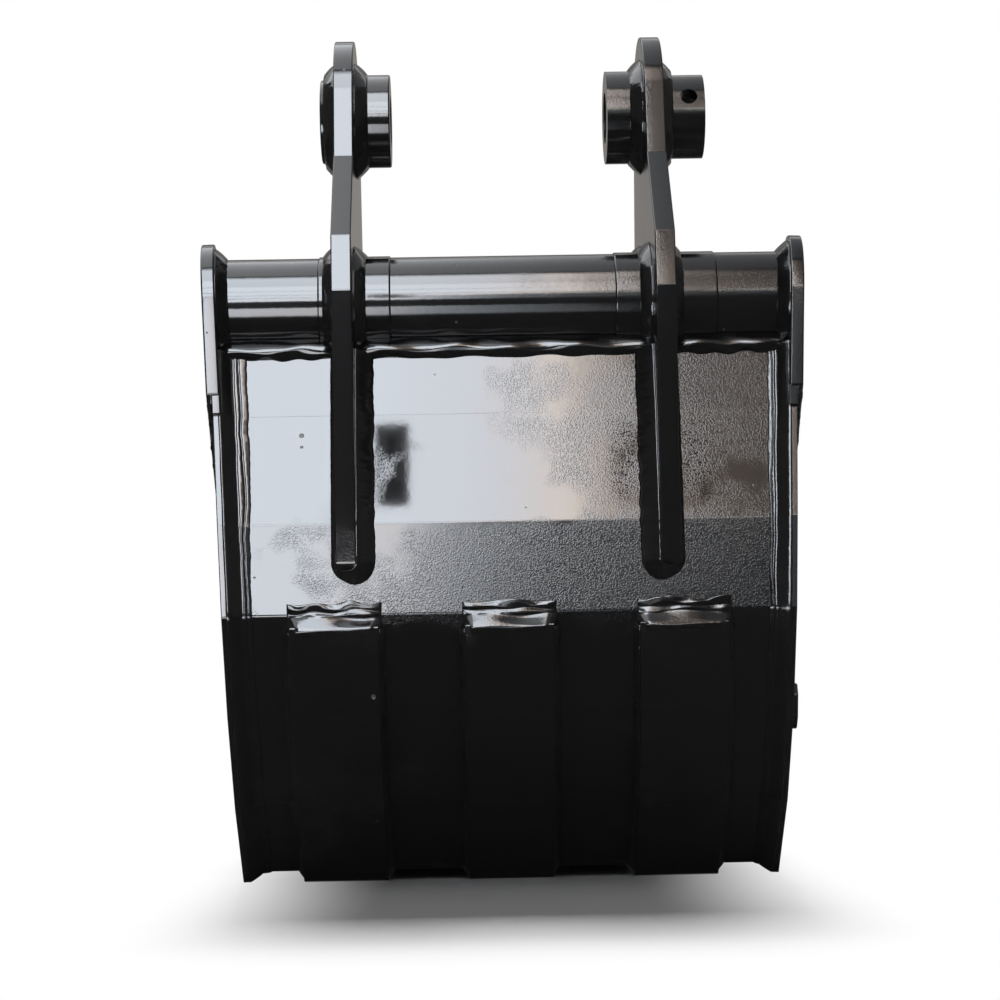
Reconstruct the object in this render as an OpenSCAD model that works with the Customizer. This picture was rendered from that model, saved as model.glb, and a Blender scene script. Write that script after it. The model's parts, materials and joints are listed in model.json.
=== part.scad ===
// Digging bucket for a small excavator: welded plates round a cross tube, with two hanger
// plates that carry the pins. All lengths are in millimetres, +Z is up and the mouth faces +Y.
// The profile is laid out from the ground up, with the cross tube's axis over Y = 0. The finished
// bucket is then moved so that the middle of the stick pin's axis is the origin.

/* [Bucket] */
// Width over the end plates, at the mouth
bucket_w = 450; // [380:5:520]
// Height of the cross tube's axis above the ground
tube_z = 440; // [410:5:480]
// Reach of the cutting edge in front of the cross tube's axis
reach = 370; // [350:5:420]
// Angle by which each side plate closes in from the mouth to the heel
taper = 3.3; // [0:0.1:5]
// Thickness of the wrapper plate
wrapper_t = 6; // [5:0.5:8]
// Thickness of each side plate
side_t = 6; // [5:0.5:8]
// Height of the side plates' rim over the wrapper
rim_h = 8; // [6:0.5:12]

/* [Cross tube] */
// Outer diameter of the cross tube
tube_d = 70; // [66:0.5:76]
// Wall of the cross tube
tube_wall = 8; // [5:0.5:10]
// Thickness of the end plates
end_t = 10; // [8:0.5:12]
// Step from the tube up to the bosses that it runs into
tube_step = 1; // [0.5:0.5:3]
// Width of the end plates' rim round the tube
end_rim = 12; // [8:0.5:14]

/* [Pins] */
// Diameter of both pin bores
pin_d = 40; // [35:0.5:45]
// Distance of the link pin in front of the tube's axis
link_y = 55; // [45:1:60]
// Height of the link pin over the tube's axis
link_rise = 152.5; // [140:0.5:165]
// Distance of the stick pin in front of the tube's axis
stick_y = 95; // [90:1:105]
// Height of the stick pin over the tube's axis
stick_rise = 12; // [5:1:20]

/* [Hanger plates] */
// Clear width between the hanger plates
ear_gap = 222; // [200:2:240]
// Thickness of each hanger plate
ear_t = 15; // [12:1:20]
// Radius of the hanger plate round the link pin
link_eye_r = 62; // [54:1:66]
// Radius of the hanger plate round the stick pin
stick_eye_r = 52; // [46:1:54]
// How far the hanger plate stands behind the tube's axis
ear_back = 74; // [66:1:82]
// Height of the toe of the hanger plate above the ground
ear_toe_z = 235; // [225:1:260]

/* [Bosses] */
// Outer diameter of the bosses between the hanger plates
boss_d = 72; // [68:0.5:76]
// Outer diameter of the bosses outside the hanger plates
boss_step_d = 65; // [60:0.5:68]
// How far each boss stands into the gap
boss_in = 27; // [20:1:32]
// How far a left boss stands out
boss_out_left = 12; // [10:1:20]
// How far a right boss stands out
boss_out_right = 34; // [30:1:40]
// Diameter of the hole for the bolt that locks a pin
lock_d = 13; // [9:0.5:14]
// Tilt of the lock bolt above the level
lock_tilt = 17; // [0:1:30]

/* [Wear strips] */
// Thickness of the wear strips under the heel
strip_t = 8.5; // [6:0.5:12]
// Width of each wear strip
strip_w = 66; // [50:1:80]
// Distance of the outer wear strips from the end plates' outer faces
strip_inset = 64; // [58:1:80]

/* [Cutting edge] */
// Thickness of the cutting edge
edge_t = 16; // [12:1:20]
// Width of the cutting edge, front to back
edge_w = 100; // [80:5:110]
// Length of the bevel on the cutting edge
bevel_len = 26; // [20:1:32]
// Height of the blunt nose under the bevel
bevel_nose = 4; // [3:0.5:6]

/* [Teeth] */
// Number of teeth
tooth_count = 4; // [3:1:5]
// Width of the adapter's nose
nose_w = 34; // [28:1:38]
// Length of the adapter's nose
nose_len = 52; // [44:1:60]
// Height of the adapter's nose at its root
nose_h = 26; // [22:1:30]
// Height of the adapter's nose at its end
nose_end_h = 12; // [9:1:14]
// Width of the adapter's strap
strap_w = 44; // [38:1:50]
// Length of the strap on the cutting edge
strap_len = 72; // [60:1:80]
// Thickness of the strap
strap_t = 14; // [10:1:18]
// Width of a tooth at its back
tooth_w = 54; // [48:1:60]
// Width of a tooth at its point
tooth_tip_w = 44; // [36:1:48]
// Height of a tooth at its back
tooth_h = 42; // [38:1:46]
// Length of a tooth
tooth_len = 128; // [110:1:150]
// Height of a tooth's blunt point
tooth_point_h = 6; // [4:0.5:8]
// Diameter of the pin that holds a tooth
tooth_pin_d = 10; // [8:0.5:12]

/* [Side cutters] */
// Thickness of the side cutters
cutter_t = 8; // [7:0.5:12]
// Length of the side cutters along the mouth
cutter_len = 170; // [150:5:200]
// Width of the side cutters
cutter_w = 78; // [70:1:84]
// How far the side cutters stand out of the mouth
cutter_lead = 16; // [8:1:24]
// Diameter of the side cutters' bolts
bolt_d = 12; // [10:1:14]

/* [Hidden] */
$fn = 72;

// Overrun of every cut past the face that it opens
cut = 1;
// Clearance between plates that are welded together
weld_gap = 0.2;
// Clearance of a pin, bolt or nose in its hole
fit = 0.3;
// Leg of the weld round a boss
boss_weld = 9;
// Length of a block that is larger than the whole bucket
far = 2000;

// Wrapper profile: shares of the height from the tube down to the floor, one for each panel,
// and each panel's lean from the upright, positive where the panel runs backwards going down
panel_share = [0.147, 0.202, 0.165, 0.176, 0.166, 0.144];
panel_lean = [14, 9, 3, -14, -32, -50];
PANELS = len(panel_share);
// Angle on the tube at which the wrapper starts
seat_angle = 235;
// Share of the panel under the heel's fold that the wear strips leave bare
strip_drop_share = 0.1;
// Panel whose upper fold is the heel
HEEL = 3;

tube_r = tube_d / 2;
boss_r = boss_d / 2;
tube_boss_r = tube_r + tube_step;
inner_x = bucket_w / 2 - end_t;
floor_z = strip_t;
edge_z = 0;
edge_top = edge_z + edge_t;
edge_back = reach - edge_w;
seat = [tube_r * cos(seat_angle), tube_z + tube_r * sin(seat_angle)];
fall = seat[1] - floor_z;

// Rear edge of a hanger plate: shares of its height and the leans of its three straight runs
ear_share = [0.32, 0.43, 0.25];
ear_lean = [10, 42, 6];
// Radius of the hanger plate's toe
ear_toe_r = 8;

// End plate's lower outline, behind and in front of the tube's axis
end_heel_drop = 72;
end_point_y = 18;
end_point_drop = 142;
end_front_y = 96;
end_front_drop = 106;
// Angle ahead of the mouth line at which the round end meets the front edge
end_front_angle = 62;
// Depth of the hollow in the side plates' front edge
mouth_hollow = 20;

// Pad on the right side plate
pad_t = 6;
pad_l = 60;
pad_h = 34;
pad_y = 20;
pad_z = 131;
pad_corner = 8;

// Side cutters: distance of the lower end from the cutting edge, bevel and bolts
cutter_end_gap = 50;
cutter_slope = 34;
cutter_bevel = 7;
bolt_inset = 30;
bolt_end_inset = 38;
bolt_head_h = 5;
bolt_head_d = 22;
bolt_head_sink = 0.5;
nut_h = 10;
nut_across = 18;
bolt_over = 3;

// Teeth: distance of the outer teeth's middles from the side plates, and the tooth's details
tooth_inset = 30;
adapter_neck = 12;
adapter_h = 40;
nose_lift = 9;
strap_tail = 20;
strap_tail_h = 6;
tooth_gap = 2;
tooth_flat = 46;
tooth_ridge_w = 16;
tooth_ridge_h = 4;
tooth_ridge_share = 0.75;
tooth_point_lift = 8;
tooth_pin_back = 24;
tooth_pin_over = 1;

function unit(v) = v / norm(v);
function left_of(a, b) = let (d = unit(b - a)) [-d[1], d[0]];
function total(v, n) = n == 0 ? 0 : total(v, n - 1) + v[n - 1];

// Moves a line of points sideways by d, to the left of its direction, with mitred corners
function beside(p, d) = [
    for (i = [0 : len(p) - 1])
        let (
            n0 = left_of(p[max(i - 1, 0)], p[max(i, 1)]),
            n1 = left_of(p[min(i, len(p) - 2)], p[min(i + 1, len(p) - 1)])
        )
        p[i] + d * (n0 + n1) / (1 + n0 * n1)
];
function reversed(p) = [for (i = [len(p) - 1 : -1 : 0]) p[i]];

// Outer face of the wrapper as points (y, z), from the tube down and forward to the cutting edge
panel_run = [for (k = [0 : PANELS - 1]) fall * panel_share[k] * tan(panel_lean[k])];
folds = [
    for (k = [0 : PANELS])
        [seat[0] - total(panel_run, k), k == PANELS ? floor_z : seat[1] - fall * total(panel_share, k)]
];
outer_face = concat(folds, [[edge_back - weld_gap, floor_z]]);
// The same line, begun inside the tube so that the plate's end can be cut to the tube
outer_from_tube = concat([folds[0] + (folds[0] - folds[1]) * (tube_r / norm(folds[1] - folds[0]))], outer_face);
// Lines along the heel, from below its fold to the cutting edge
strip_start = folds[HEEL] + strip_drop_share * (folds[HEEL + 1] - folds[HEEL]);
strip_pitch = bucket_w / 2 - strip_inset - strip_w / 2;
strip_face = concat([strip_start], [for (k = [HEEL + 1 : PANELS + 1]) outer_face[k]]);

// Mouth line from the tube's axis to the cutting edge, its direction and its length
tube_at = [0, tube_z];
lip_at = [reach, edge_z];
mouth_dir = unit(lip_at - tube_at);
mouth_len = norm(lip_at - tube_at);
mouth_angle = atan2(mouth_dir[1], mouth_dir[0]);
link_at = [link_y, tube_z + link_rise];
stick_at = [stick_y, tube_z + stick_rise];
ear_x = ear_gap / 2 + ear_t / 2;
ear_out_x = ear_gap / 2 + ear_t;
boss_end_x = ear_gap / 2 - boss_in;

// Rear edge of a hanger plate, from its tangent on the link eye down to the tube's height
ear_start = link_at + link_eye_r * [-cos(ear_lean[0]), sin(ear_lean[0])];
ear_fall = ear_start[1] - tube_z;
ear_runs = [for (k = [0 : 2]) ear_share[k] * tan(ear_lean[k])];
ear_reach = ear_start[0] + ear_back;
ear_rear = [
    for (k = [0 : 3])
        [ear_start[0] - ear_reach * total(ear_runs, k) / total(ear_runs, 3), ear_start[1] - ear_fall * total(ear_share, k)]
];
// Height share of the toe between the folds over and under it, and the wrapper's face there
toe_share = (folds[HEEL - 1][1] - ear_toe_z) / (folds[HEEL - 1][1] - folds[HEEL][1]);
toe_at = folds[HEEL - 1] + toe_share * (folds[HEEL] - folds[HEEL - 1]) + [0, ear_toe_r];

tooth_span = 2 * (inner_x + side_t - tooth_inset);
function tooth_x(i) = tooth_span * ((i - 1) / (tooth_count - 1) - 0.5);

// Points where a line touches two circles, on the left of the way from the first to the second
function tangent(c1, r1, c2, r2) =
    let (d = norm(c2 - c1), a = atan2(c2[1] - c1[1], c2[0] - c1[0]) + acos((r1 - r2) / d))
    [c1 + r1 * [cos(a), sin(a)], c2 + r2 * [cos(a), sin(a)]];

// Draws an outline of points (y, z) as a plate of thickness w, centred on X = 0
module plate(w) {
    rotate([90, 0, 90])
        linear_extrude(height = w, center = true)
            children();
}

// The same, from x0 outwards to x0 + w
module plate_from(x0, w) {
    translate([x0 + w / 2, 0, 0])
        plate(w)
            children();
}

// Turns a side's plane about the mouth line; side is 1 on the right and -1 on the left
module lean_side(side) {
    translate([side * inner_x, tube_at[0], tube_at[1]])
        rotate(a = side * taper, v = [0, mouth_dir[0], mouth_dir[1]])
            translate([-side * inner_x, -tube_at[0], -tube_at[1]])
                children();
}

module side_frame(side) {
    lean_side(side)
        mirror([side < 0 ? 1 : 0, 0, 0])
            children();
}

// Everything between the two side planes, less a gap
module between_sides(gap) {
    intersection_for (side = [-1, 1])
        side_frame(side)
            translate([inner_x - gap - far, -far / 2, -far / 2])
                cube([far, far, far]);
}

// A cylinder along X through the point (y, z)
module rod(at, r, x0, x1) {
    translate([x0, at[0], at[1]])
        rotate([0, 90, 0])
            cylinder(r = r, h = x1 - x0);
}

// A round piece along X: pairs of (radius, x) turned about the axis through (y, z)
module turned(at, outline) {
    translate([0, at[0], at[1]])
        rotate([0, 90, 0])
            rotate_extrude()
                polygon(outline);
}

module to_pin_frame() {
    translate([0, -stick_at[0], -stick_at[1]])
        children();
}

// Bent plate that forms the back, the heel and the floor
module wrapper_plate() {
    color([0.11, 0.11, 0.12])
        to_pin_frame()
            difference() {
                intersection() {
                    plate(bucket_w)
                        polygon(concat(outer_from_tube, reversed(beside(outer_from_tube, wrapper_t))));
                    between_sides(weld_gap);
                }
                rod(tube_at, tube_r + weld_gap, -bucket_w, bucket_w);
                for (side = [-1, 1])
                    tube_boss_body(side, weld_gap);
            }
}

// Outline of an end plate: a round end over the tube, closing to a point below it
module end_outline(gap) {
    eye_r = tube_r + end_rim;
    translate(tube_at)
        circle(r = eye_r + gap);
    polygon([
        [-eye_r - gap, tube_z],
        [-eye_r - gap, tube_z - end_heel_drop - gap],
        [end_point_y, tube_z - end_point_drop - gap],
        [end_front_y + gap, tube_z - end_front_drop - gap],
        tube_at + (eye_r + gap) * [cos(mouth_angle + end_front_angle), sin(mouth_angle + end_front_angle)]
    ]);
}

// Outline of a whole side, with the rim and the hollowed front edge
module side_outline() {
    rim = beside(outer_face, -rim_h);
    rim_end = rim[len(rim) - 1];
    half_mouth = mouth_len / 2;
    hollow_r = (half_mouth * half_mouth / mouth_hollow + mouth_hollow) / 2;
    front = lip_at + [-bevel_len, edge_t];
    difference() {
        polygon(concat(
            [tube_at],
            [[-tube_r - end_rim, tube_z], [-tube_r - end_rim, rim[1][1]]],
            [for (i = [1 : len(rim) - 1]) rim[i]],
            [[rim_end[0], edge_top + weld_gap], [front[0], edge_top + weld_gap]]
        ));
        translate((tube_at + front) / 2 + (hollow_r - mouth_hollow) * [-mouth_dir[1], mouth_dir[0]])
            circle(r = hollow_r, $fn = 360);
    }
}

module side_plate(side) {
    color([0.12, 0.12, 0.13])
        to_pin_frame()
            side_frame(side)
                difference() {
                    plate_from(inner_x, side_t)
                        difference() {
                            side_outline();
                            end_outline(weld_gap);
                        }
                    for (k = [0, 1])
                        cutter_hole(k);
                }
}

module end_plate(side) {
    color([0.13, 0.13, 0.14])
        to_pin_frame()
            side_frame(side)
                plate_from(inner_x, end_t)
                    end_outline(0);
}

// Cross tube in three lengths: from each end plate to the boss, and between the bosses
module cross_tube(x0, x1) {
    color([0.15, 0.15, 0.17])
        to_pin_frame()
            intersection() {
                difference() {
                    rod(tube_at, tube_r, x0, x1);
                    rod(tube_at, tube_r - tube_wall, x0 - cut, x1 + cut);
                }
                between_sides(weld_gap);
            }
}

function boss_out(side) = side > 0 ? boss_out_right : boss_out_left;

// Boss that joins the lengths of the cross tube through a hanger plate
module tube_boss_body(side, gap) {
    mirror([side < 0 ? 1 : 0, 0, 0])
        rod(tube_at, tube_boss_r + gap, boss_end_x, ear_out_x + boss_out(side));
}

module tube_boss(side) {
    color([0.12, 0.12, 0.13])
        to_pin_frame()
            difference() {
                tube_boss_body(side, 0);
                mirror([side < 0 ? 1 : 0, 0, 0])
                    rod(tube_at, tube_r - tube_wall, boss_end_x - cut, ear_out_x + boss_out(side) + cut);
            }
}

// Uncut hanger plate: eyes round both pins and the tube, joined by their tangents, with a tail
// that runs down the wrapper and ends in a round toe
module ear_body() {
    saddle_r = tube_r + end_rim;
    front = tangent(link_at, link_eye_r, stick_at, stick_eye_r);
    below = tangent(stick_at, stick_eye_r, tube_at, saddle_r);
    for (eye = [[link_at, link_eye_r], [stick_at, stick_eye_r], [tube_at, saddle_r], [toe_at, ear_toe_r]])
        rod(eye[0], eye[1], -ear_t / 2, ear_t / 2);
    plate(ear_t)
        polygon([
            link_at, front[0], front[1], stick_at, below[0], below[1], tube_at,
            toe_at + [ear_toe_r, 0], toe_at - [ear_toe_r, 0],
            ear_rear[3], ear_rear[2], ear_rear[1], ear_rear[0]
        ]);
}

// Everything on the inner side of the wrapper's outer face
module inside_wrapper(gap) {
    line = beside(outer_from_tube, -gap);
    polygon(concat(line, [[reach, tube_z / 2]]));
}

module hanger_plate(side) {
    color([0.1, 0.1, 0.11])
        to_pin_frame()
            translate([side * ear_x, 0, 0])
                difference() {
                    ear_body();
                    plate(ear_t + 2 * cut)
                        inside_wrapper(weld_gap);
                    rod(tube_at, tube_boss_r + weld_gap, -ear_t, ear_t);
                    for (at = [link_at, stick_at])
                        rod(at, boss_r + weld_gap, -ear_t, ear_t);
                }
}

// Turned boss with its weld on both sides of the hanger plate, and a hole for the lock bolt
module pin_boss(at, side) {
    out = ear_out_x + boss_out(side);
    seat_out = ear_out_x + weld_gap;
    seat_in = ear_gap / 2 - weld_gap;
    step_r = boss_step_d / 2;
    color([0.12, 0.12, 0.13])
        to_pin_frame()
            mirror([side < 0 ? 1 : 0, 0, 0])
                difference() {
                    turned(at, [
                        [pin_d / 2, boss_end_x],
                        [boss_r, boss_end_x],
                        [boss_r, seat_in - boss_weld],
                        [boss_r + boss_weld, seat_in],
                        [boss_r, seat_in],
                        [boss_r, seat_out],
                        [boss_r + boss_weld, seat_out],
                        [step_r, seat_out + boss_weld],
                        [step_r, out],
                        [pin_d / 2, out]
                    ]);
                    if (side > 0)
                        translate([(seat_out + boss_weld + out) / 2, at[0], at[1]])
                            rotate([90 - lock_tilt, 0, 0])
                                cylinder(r = lock_d / 2, h = boss_step_d + 2 * cut, center = true);
                }
}

// Wear strip bent round the heel and run along the floor
module wear_strip(i) {
    color([0.09, 0.09, 0.1])
        to_pin_frame()
            translate([i * strip_pitch, 0, 0])
                plate(strip_w)
                    polygon(concat(strip_face, reversed(beside(strip_face, -strip_t))));
}

module cutting_edge() {
    color([0.14, 0.14, 0.15])
        to_pin_frame()
            plate(2 * (inner_x + side_t))
                polygon([
                    [edge_back, edge_z],
                    [reach, edge_z],
                    [reach, edge_z + bevel_nose],
                    [reach - bevel_len, edge_top],
                    [edge_back, edge_top]
                ]);
}

module side_pad_right() {
    color([0.1, 0.1, 0.11])
        to_pin_frame()
            side_frame(1)
                plate_from(inner_x + side_t, pad_t)
                    translate([pad_y, pad_z])
                        polygon([
                            [-pad_l / 2, pad_corner - pad_h / 2],
                            [pad_corner - pad_l / 2, -pad_h / 2],
                            [pad_l / 2 - pad_corner, -pad_h / 2],
                            [pad_l / 2, pad_corner - pad_h / 2],
                            [pad_l / 2, pad_h / 2 - pad_corner],
                            [pad_l / 2 - pad_corner, pad_h / 2],
                            [pad_corner - pad_l / 2, pad_h / 2],
                            [-pad_l / 2, pad_h / 2 - pad_corner]
                        ]);
}

// Outline of a side cutter in the mouth's own frame: x runs down the mouth, y towards the heel
module cutter_outline() {
    low = mouth_len - cutter_end_gap;
    translate(tube_at)
        rotate(mouth_angle)
            polygon([
                [low, cutter_lead],
                [low, -cutter_w + cutter_slope + cutter_lead],
                [low - cutter_slope, -cutter_w + cutter_lead],
                [low - cutter_len + cutter_slope, -cutter_w + cutter_lead],
                [low - cutter_len, -cutter_w + cutter_slope + cutter_lead],
                [low - cutter_len, 0],
                [low - cutter_len + cutter_slope, cutter_lead]
            ]);
}

// Middle of one of a side cutter's two bolts, as (y, z)
function bolt_at(k) =
    let (
        along = mouth_len - cutter_end_gap - (k == 0 ? bolt_end_inset : cutter_len - bolt_end_inset),
        inward = cutter_w - cutter_lead - bolt_inset
    )
    tube_at + along * mouth_dir + inward * [mouth_dir[1], -mouth_dir[0]];

module cutter_hole(k) {
    rod(bolt_at(k), bolt_d / 2 + fit, inner_x - cut, inner_x + side_t + cutter_t + cut);
}

bolt_face_x = inner_x + side_t + cutter_t - bolt_head_sink;

// Flat head of a plough bolt, a cone that lies in the side cutter just under its outer face
module bolt_head(k, gap) {
    translate([bolt_face_x - bolt_head_h, bolt_at(k)[0], bolt_at(k)[1]])
        rotate([0, 90, 0])
            cylinder(r1 = bolt_d / 2 + gap, r2 = bolt_head_d / 2 + gap, h = bolt_head_h);
}

module side_cutter(side) {
    color([0.13, 0.13, 0.14])
        to_pin_frame()
            side_frame(side)
                difference() {
                    plate_from(inner_x + side_t, cutter_t)
                        cutter_outline();
                    for (k = [0, 1]) {
                        cutter_hole(k);
                        bolt_head(k, fit);
                        rod(bolt_at(k), bolt_head_d / 2 + fit, bolt_face_x, bolt_face_x + bolt_head_sink + cut);
                    }
                    // Bevel along the leading edge
                    translate([inner_x + side_t + cutter_t, tube_at[0], tube_at[1]])
                        rotate([mouth_angle, 0, 0])
                            translate([0, 0, cutter_lead])
                                rotate([0, 45, 0])
                                    cube([cutter_bevel, far, cutter_bevel], center = true);
                }
}

module hexagon(at, across, x0, h) {
    translate([x0, at[0], at[1]])
        rotate([0, 90, 0])
            cylinder(r = across / sqrt(3), h = h, $fn = 6);
}

module cutter_bolts(side) {
    color([0.3, 0.3, 0.32])
        to_pin_frame()
            side_frame(side)
                for (k = [0, 1]) {
                    bolt_head(k, 0);
                    rod(bolt_at(k), bolt_d / 2, inner_x - nut_h - bolt_over, bolt_face_x - bolt_head_h + cut);
                }
}

module cutter_nuts(side) {
    color([0.3, 0.3, 0.32])
        to_pin_frame()
            side_frame(side)
                for (k = [0, 1])
                    difference() {
                        hexagon(bolt_at(k), nut_across, inner_x - nut_h, nut_h);
                        rod(bolt_at(k), bolt_d / 2 + fit, inner_x - nut_h - cut, inner_x + cut);
                    }
}

nose_root = reach + adapter_neck;
nose_mid = edge_z + nose_lift + nose_h / 2;

// Side view of the adapter's nose, grown all round by gap
module nose_outline(gap) {
    polygon([
        [nose_root - cut, nose_mid - nose_h / 2 - gap],
        [nose_root + nose_len + gap, nose_mid - nose_end_h / 2 - gap],
        [nose_root + nose_len + gap, nose_mid + nose_end_h / 2 + gap],
        [nose_root - cut, nose_mid + nose_h / 2 + gap]
    ]);
}

pin_at = [nose_root + tooth_pin_back, nose_mid];

// Adapter: a strap along the cutting edge, a neck in front of it and a nose that carries the tooth
module tooth_adapter(i) {
    color([0.11, 0.11, 0.12])
        to_pin_frame()
            translate([tooth_x(i), 0, 0])
                difference() {
                    union() {
                        plate(strap_w)
                            polygon([
                                [reach + weld_gap, edge_z],
                                [nose_root, edge_z],
                                [nose_root, edge_z + adapter_h],
                                [reach - bevel_len, edge_z + adapter_h],
                                [reach - strap_len + strap_tail, edge_top + strap_t],
                                [reach - strap_len, edge_top + strap_tail_h],
                                [reach - strap_len, edge_top + weld_gap],
                                [reach - bevel_len, edge_top + weld_gap],
                                [reach + weld_gap, edge_z + bevel_nose + weld_gap]
                            ]);
                        plate(nose_w)
                            nose_outline(0);
                    }
                    rod(pin_at, tooth_pin_d / 2 + fit, -tooth_w, tooth_w);
                }
}

// Tooth: a wedge in both views, with a raised ridge on top and a pocket that fits the nose
module tooth(i) {
    back = nose_root + tooth_gap;
    point = back + tooth_len;
    color([0.1, 0.1, 0.11])
        to_pin_frame()
            translate([tooth_x(i), 0, 0])
                difference() {
                    intersection() {
                        union() {
                            plate(tooth_w)
                                polygon([
                                    [back, edge_z],
                                    [point, edge_z + tooth_point_lift],
                                    [point, edge_z + tooth_point_lift + tooth_point_h],
                                    [back + tooth_flat, edge_z + tooth_h],
                                    [back, edge_z + tooth_h]
                                ]);
                            plate(tooth_ridge_w)
                                polygon([
                                    [back, edge_z + tooth_h - tooth_ridge_h],
                                    [back + tooth_len * tooth_ridge_share, edge_z + tooth_point_lift + tooth_point_h],
                                    [back + tooth_flat, edge_z + tooth_h + tooth_ridge_h],
                                    [back, edge_z + tooth_h + tooth_ridge_h]
                                ]);
                        }
                        linear_extrude(height = 2 * tooth_h)
                            polygon([
                                [-tooth_w / 2, back],
                                [tooth_w / 2, back],
                                [tooth_w / 2, back + tooth_flat],
                                [tooth_tip_w / 2, point],
                                [-tooth_tip_w / 2, point],
                                [-tooth_w / 2, back + tooth_flat]
                            ]);
                    }
                    plate(nose_w + 2 * fit)
                        nose_outline(fit);
                    rod(pin_at, tooth_pin_d / 2 + fit, -tooth_w, tooth_w);
                }
}

module tooth_pins() {
    color([0.35, 0.35, 0.37])
        to_pin_frame()
            for (i = [1 : tooth_count])
                rod(pin_at, tooth_pin_d / 2, tooth_x(i) - tooth_w / 2 - tooth_pin_over, tooth_x(i) + tooth_w / 2 + tooth_pin_over);
}

wrapper_plate();
side_plate(-1);  // side_plate_left
side_plate(1);  // side_plate_right
end_plate(-1);  // end_plate_left
end_plate(1);  // end_plate_right
cross_tube(-bucket_w, -ear_out_x - boss_out_left - weld_gap);  // cross_tube_left
cross_tube(weld_gap - boss_end_x, boss_end_x - weld_gap);  // cross_tube_middle
cross_tube(ear_out_x + boss_out_right + weld_gap, bucket_w);  // cross_tube_right
tube_boss(-1);  // tube_boss_left
tube_boss(1);  // tube_boss_right
hanger_plate(-1);  // hanger_plate_left
hanger_plate(1);  // hanger_plate_right
pin_boss(link_at, -1);  // link_boss_left
pin_boss(link_at, 1);  // link_boss_right
pin_boss(stick_at, -1);  // stick_boss_left
pin_boss(stick_at, 1);  // stick_boss_right
wear_strip(-1);  // wear_strip_left
wear_strip(0);  // wear_strip_middle
wear_strip(1);  // wear_strip_right
cutting_edge();
side_pad_right();
side_cutter(-1);  // side_cutter_left
side_cutter(1);  // side_cutter_right
cutter_bolts(-1);  // cutter_bolts_left
cutter_bolts(1);  // cutter_bolts_right
cutter_nuts(-1);  // cutter_nuts_left
cutter_nuts(1);  // cutter_nuts_right
tooth_adapter(1);  // tooth_adapter_1
tooth_adapter(2);  // tooth_adapter_2
tooth_adapter(3);  // tooth_adapter_3
tooth_adapter(4);  // tooth_adapter_4
tooth(1);  // tooth_1
tooth(2);  // tooth_2
tooth(3);  // tooth_3
tooth(4);  // tooth_4
tooth_pins();
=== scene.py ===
# %% [markdown]
# # A digging bucket seen from behind
#
# The bucket arrives as a fixed frame of steel plates, tubes and bosses at their real size.
# This notebook gives it what the drawing leaves out: softened plate edges, weld beads, black
# gloss paint over rolled steel, the marks of handling, and studio light to show them. Every
# length is in metres, in the frame's own axes: X to the bucket's right, Y out of its mouth
# and Z up, with the middle of the stick pin at the origin.

# %% Load the frame
import json
import math

import bmesh
import bpy
import numpy as np
from mathutils import Matrix, Vector
from mathutils.geometry import convex_hull_2d

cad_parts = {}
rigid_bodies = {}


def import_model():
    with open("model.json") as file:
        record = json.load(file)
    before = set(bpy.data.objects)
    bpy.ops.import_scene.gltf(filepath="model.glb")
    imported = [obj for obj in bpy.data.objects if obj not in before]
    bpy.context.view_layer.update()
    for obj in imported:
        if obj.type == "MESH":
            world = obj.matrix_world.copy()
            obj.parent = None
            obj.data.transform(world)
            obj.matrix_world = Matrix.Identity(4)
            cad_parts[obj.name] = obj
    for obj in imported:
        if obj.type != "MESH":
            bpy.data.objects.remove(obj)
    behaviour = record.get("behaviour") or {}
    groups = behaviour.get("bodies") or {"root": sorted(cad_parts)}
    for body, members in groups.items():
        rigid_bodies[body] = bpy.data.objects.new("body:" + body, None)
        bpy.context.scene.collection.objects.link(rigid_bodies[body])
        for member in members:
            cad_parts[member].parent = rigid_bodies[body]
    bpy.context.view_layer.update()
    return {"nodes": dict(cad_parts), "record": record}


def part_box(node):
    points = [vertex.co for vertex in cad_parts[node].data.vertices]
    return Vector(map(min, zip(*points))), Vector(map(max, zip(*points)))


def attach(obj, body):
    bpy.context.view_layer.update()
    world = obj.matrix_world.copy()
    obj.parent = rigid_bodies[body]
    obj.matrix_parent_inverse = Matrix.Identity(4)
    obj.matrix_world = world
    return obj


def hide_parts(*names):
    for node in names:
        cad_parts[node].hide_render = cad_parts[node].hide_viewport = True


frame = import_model()
nodes = frame["nodes"]
slots = {part["node"]: part["material_slot"] for part in frame["record"]["subparts"]}
mm = 0.001
print("frame:", len(nodes), "nodes")

# %% [markdown]
# ## Where things are
#
# Welds have to lie exactly where two plates meet, so their places are read from the frame. A
# plate's fold lines are the corners of its outline, and a tube's axis is the middle of its
# box. Reading them here means that a change in the drawing moves every weld. Only the
# thickness of the wrapper and of the side plates is written down.

# %% Measure the frame
ground_z = min(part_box(name)[0].z for name in nodes)
tube_low, tube_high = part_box("cross_tube_middle")
tube_y = (tube_low.y + tube_high.y) / 2
tube_z = (tube_low.z + tube_high.z) / 2
tube_r = (tube_high.z - tube_low.z) / 2
boss_low, boss_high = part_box("tube_boss_right")
tube_boss_r = (boss_high.z - boss_low.z) / 2
ear_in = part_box("hanger_plate_right")[0].x
ear_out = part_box("hanger_plate_right")[1].x
plate_t = 6 * mm
print("tube axis:", round(tube_y, 4), round(tube_z, 4), "radius", round(tube_r, 4))


# %% Outlines of nodes
def corners(name):
    """All corner points of a node, as an array of (x, y, z)."""
    mesh = nodes[name].data
    points = np.empty(len(mesh.vertices) * 3)
    mesh.vertices.foreach_get("co", points)
    return points.reshape(-1, 3)


def outline(points):
    """Corners of the tight loop round points seen along X, as (y, z), turning anticlockwise."""
    flat = np.unique(np.round(points[:, 1:], 5), axis=0)
    order = convex_hull_2d([Vector(p) for p in flat])
    return flat[order]


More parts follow.
